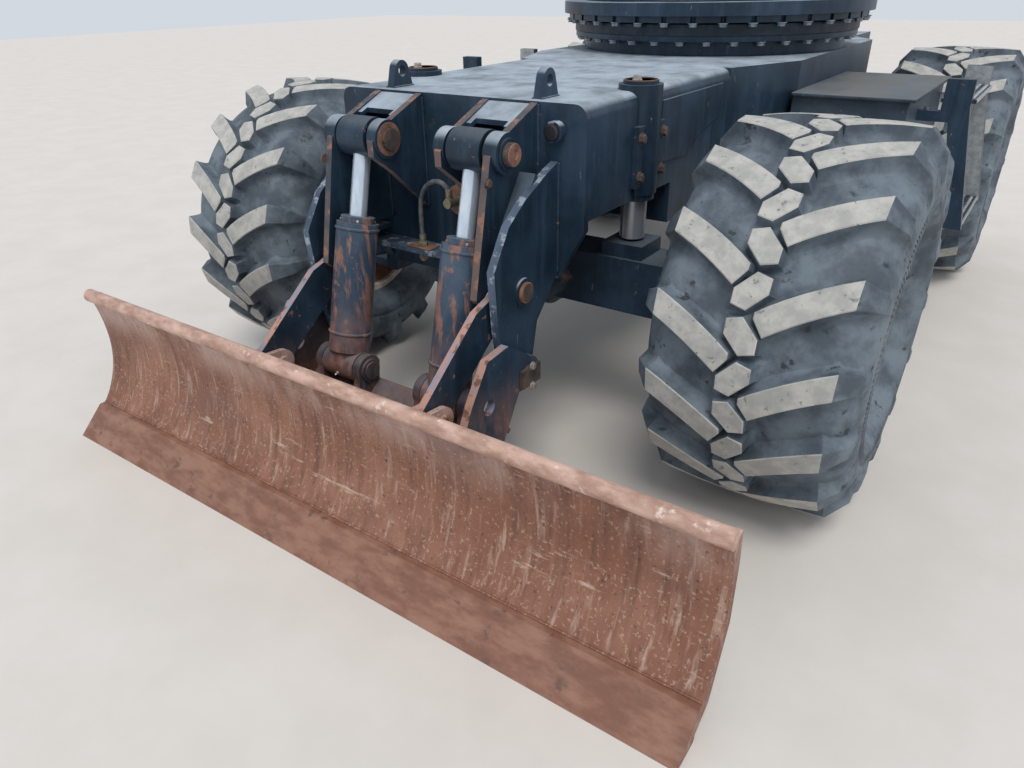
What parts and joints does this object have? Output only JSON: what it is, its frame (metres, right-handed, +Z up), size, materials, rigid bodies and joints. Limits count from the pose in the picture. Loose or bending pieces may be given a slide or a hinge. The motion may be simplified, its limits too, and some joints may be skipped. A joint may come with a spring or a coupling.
{
  "type": "wheeled excavator undercarriage",
  "caption": "Wheeled excavator undercarriage: welded frame with slewing ring, steered oscillating front axle, rigid rear axle, side boxes with steps and a front dozer blade on a lift linkage.",
  "frame": {"origin": "on the ground under the middle of the outline", "axes": "+Z up, +Y towards the rear, the blade at -Y, X across the machine with its left side at +X"},
  "size_m": [2.68, 4.43, 1.432],
  "materials": {
    "dark_paint": "semi-gloss blue black, worn",
    "machined_steel": "dull, greased",
    "chrome_rod": "polished",
    "galvanised": "galvanised, dull",
    "worn_rust": "rusted, scraped",
    "edge_rust": "rusted, scraped",
    "black_rubber": "matte",
    "tyre_rubber": "dusty",
    "rim_rust": "rusty brown",
    "hub_grey": "light grey, worn"
  },
  "bodies": {
    "chassis": {"frame": "dark_paint", "blade_mount": "dark_paint", "mount_pins": "machined_steel", "turret_collar": "dark_paint", "slew_ring_fixed": "machined_steel", "centre_swivel": "machined_steel", "lock_barrel_left": "dark_paint", "lock_barrel_right": "dark_paint", "toolbox_left": "dark_paint", "toolbox_right": "dark_paint", "steps_left": "galvanised", "steps_right": "galvanised", "rear_axle": "dark_paint", "transmission": "dark_paint", "drive_shaft": "dark_paint", "hoses": "black_rubber"},
    "slew_ring": {"slew_ring_turning": "dark_paint"},
    "front_axle": {"front_axle_beam": "dark_paint", "steering_cylinder": "dark_paint"},
    "steering_rod": {"steering_rod": "chrome_rod"},
    "knuckle_left": {"knuckle_left": "dark_paint"},
    "knuckle_right": {"knuckle_right": "dark_paint"},
    "lock_plunger_left": {"lock_plunger_left": "chrome_rod"},
    "lock_plunger_right": {"lock_plunger_right": "chrome_rod"},
    "lower_arm": {"lower_arm": "dark_paint"},
    "upper_links": {"upper_link_left": "dark_paint", "upper_link_right": "dark_paint"},
    "lift_barrels": {"lift_barrel_left": "dark_paint", "lift_barrel_right": "dark_paint"},
    "lift_rods": {"lift_rod_left": "chrome_rod", "lift_rod_right": "chrome_rod"},
    "blade": {"blade": "worn_rust", "cutting_edge": "edge_rust"},
    "wheel_front_left": {"tyre_front_left": "tyre_rubber", "rim_front_left": "rim_rust", "hub_front_left": "hub_grey"},
    "wheel_front_right": {"tyre_front_right": "tyre_rubber", "rim_front_right": "rim_rust", "hub_front_right": "hub_grey"},
    "wheel_rear_left": {"tyre_rear_left": "tyre_rubber", "rim_rear_left": "rim_rust", "hub_rear_left": "hub_grey"},
    "wheel_rear_right": {"tyre_rear_right": "tyre_rubber", "rim_rear_right": "rim_rust", "hub_rear_right": "hub_grey"}
  },
  "joints": [
    {"name": "swing", "type": "hinge", "parent": "chassis", "child": "slew_ring", "pos_m": [0, 0.705, 1.4], "axis": [0, 0, 1], "continuous": true},
    {"name": "front_oscillation", "type": "hinge", "parent": "chassis", "child": "front_axle", "pos_m": [0, -0.975, 0.66], "axis": [0, -1, 0], "range_deg": [-8, 8]},
    {"name": "lock_left_slide", "type": "slide", "parent": "chassis", "child": "lock_plunger_left", "axis": [0, 0, 1], "range_m": [-0.0634, 0.0634]},
    {"name": "lock_right_slide", "type": "slide", "parent": "chassis", "child": "lock_plunger_right", "axis": [0, 0, 1], "range_m": [-0.0634, 0.0634]},
    {"name": "steer_left", "type": "hinge", "parent": "front_axle", "child": "knuckle_left", "pos_m": [0.8, -0.975, 0.59], "axis": [0, 0, 1], "range_deg": [-25, 25]},
    {"name": "steer_right", "type": "hinge", "parent": "front_axle", "child": "knuckle_right", "pos_m": [-0.8, -0.975, 0.59], "axis": [0, 0, 1], "range_deg": [-25, 25]},
    {"name": "steering_rod_slide", "type": "slide", "parent": "front_axle", "child": "steering_rod", "axis": [1, 0, 0], "range_m": [-0.0848, 0.0848]},
    {"name": "spin_front_left", "type": "hinge", "parent": "knuckle_left", "child": "wheel_front_left", "pos_m": [1.04, -0.975, 0.59], "axis": [1, 0, 0], "continuous": true},
    {"name": "spin_front_right", "type": "hinge", "parent": "knuckle_right", "child": "wheel_front_right", "pos_m": [-1.04, -0.975, 0.59], "axis": [1, 0, 0], "continuous": true},
    {"name": "spin_rear_left", "type": "hinge", "parent": "chassis", "child": "wheel_rear_left", "pos_m": [1.04, 1.625, 0.59], "axis": [1, 0, 0], "continuous": true},
    {"name": "spin_rear_right", "type": "hinge", "parent": "chassis", "child": "wheel_rear_right", "pos_m": [-1.04, 1.625, 0.59], "axis": [1, 0, 0], "continuous": true},
    {"name": "blade_lift", "type": "hinge", "parent": "chassis", "child": "lower_arm", "pos_m": [0, -1.575, 0.465], "axis": [-1, 0, 0], "range_deg": [-18, 47]},
    {"name": "blade_level", "type": "hinge", "parent": "lower_arm", "child": "blade", "pos_m": [0, -1.94, 0.195], "axis": [-1, 0, 0], "range_deg": [-47, 18]},
    {"name": "upper_link_swing", "type": "hinge", "parent": "chassis", "child": "upper_links", "pos_m": [0, -1.552, 0.72], "axis": [-1, 0, 0], "range_deg": [-18, 47]},
    {"name": "lift_barrel_swing", "type": "hinge", "parent": "lower_arm", "child": "lift_barrels", "pos_m": [0, -1.72, 0.39], "axis": [-1, 0, 0], "range_deg": [-41.92, 16.08]},
    {"name": "lift_rod_slide", "type": "slide", "parent": "lift_barrels", "child": "lift_rods", "axis": [0, 0.2505, 0.9681], "range_m": [-0.114, 0.044]}
  ],
  "couplings": [
    {"joint": "lock_left_slide", "follows": "front_oscillation", "m_per_rad": 0.45295},
    {"joint": "lock_right_slide", "follows": "front_oscillation", "m_per_rad": -0.45295},
    {"joint": "steer_right", "follows": "steer_left", "ratio": 1},
    {"joint": "steering_rod_slide", "follows": "steer_left", "m_per_rad": -0.19371},
    {"joint": "blade_level", "follows": "blade_lift", "ratio": -1},
    {"joint": "upper_link_swing", "follows": "blade_lift", "ratio": 1},
    {"joint": "lift_barrel_swing", "follows": "blade_lift", "ratio": -0.89082},
    {"joint": "lift_rod_slide", "follows": "blade_lift", "m_per_rad": -0.13834}
  ]
}
